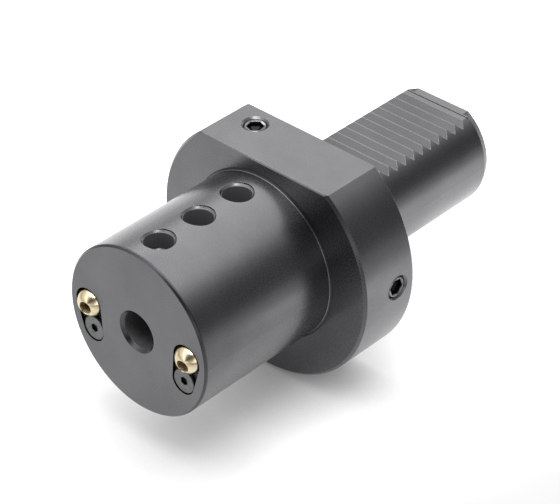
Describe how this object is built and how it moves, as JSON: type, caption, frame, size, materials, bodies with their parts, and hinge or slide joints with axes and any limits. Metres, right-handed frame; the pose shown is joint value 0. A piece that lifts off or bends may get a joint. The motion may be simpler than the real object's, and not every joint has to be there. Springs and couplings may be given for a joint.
{
  "type": "lathe turret tool holder",
  "caption": "Boring-bar holder for a lathe turret: round serrated shank, flange with a flat, cylindrical body with a clamped bore and ball nozzles for coolant.",
  "frame": {"origin": "centre of the flange's seating face, on the shank's axis", "axes": "+Y along the shank towards its free end, so the working face looks along -Y; +Z towards the flange's flat, the serration and the clamping screws; +X completes a right-handed set"},
  "size_m": [0.083, 0.1406, 0.0741],
  "materials": {
    "black_oxide_steel": "ground and turned steel, satin black oxide",
    "black_screw_steel": "black oxide screw steel",
    "grey_screw_steel": "grey phosphated screw steel",
    "brass": "turned pale brass",
    "seal_rubber": "moulded nitrile rubber"
  },
  "bodies": {
    "holder": {"holder_body": "black_oxide_steel", "nozzle_seal_left": "seal_rubber", "nozzle_seal_right": "seal_rubber", "nozzle_screw_left": "grey_screw_steel", "nozzle_screw_right": "grey_screw_steel", "flange_plug_top": "black_screw_steel", "flange_plug_side": "black_screw_steel", "bore_plug": "black_screw_steel", "shank_seal_ring": "seal_rubber"},
    "front_screw": {"clamp_screw_front": "black_screw_steel"},
    "middle_screw": {"clamp_screw_middle": "black_screw_steel"},
    "rear_screw": {"clamp_screw_rear": "black_screw_steel"},
    "left_nozzle": {"nozzle_left": "brass"},
    "right_nozzle": {"nozzle_right": "brass"}
  },
  "joints": [
    {"name": "front_screw_travel", "type": "slide", "parent": "holder", "child": "front_screw", "axis": [0, 0, 1], "range_m": [-0.0051, 0.0052]},
    {"name": "middle_screw_travel", "type": "slide", "parent": "holder", "child": "middle_screw", "axis": [0, 0, 1], "range_m": [-0.0023, 0.008]},
    {"name": "rear_screw_travel", "type": "slide", "parent": "holder", "child": "rear_screw", "axis": [0, 0, 1], "range_m": [-0.0017, 0.0086]},
    {"name": "left_nozzle_tilt", "type": "hinge", "parent": "holder", "child": "left_nozzle", "pos_m": [-0.0201, -0.073, 0.00025], "axis": [1, 0, 0], "range_deg": [-23, 17]},
    {"name": "right_nozzle_tilt", "type": "hinge", "parent": "holder", "child": "right_nozzle", "pos_m": [0.0201, -0.073, 0.00025], "axis": [1, 0, 0], "range_deg": [-28, 12]}
  ]
}
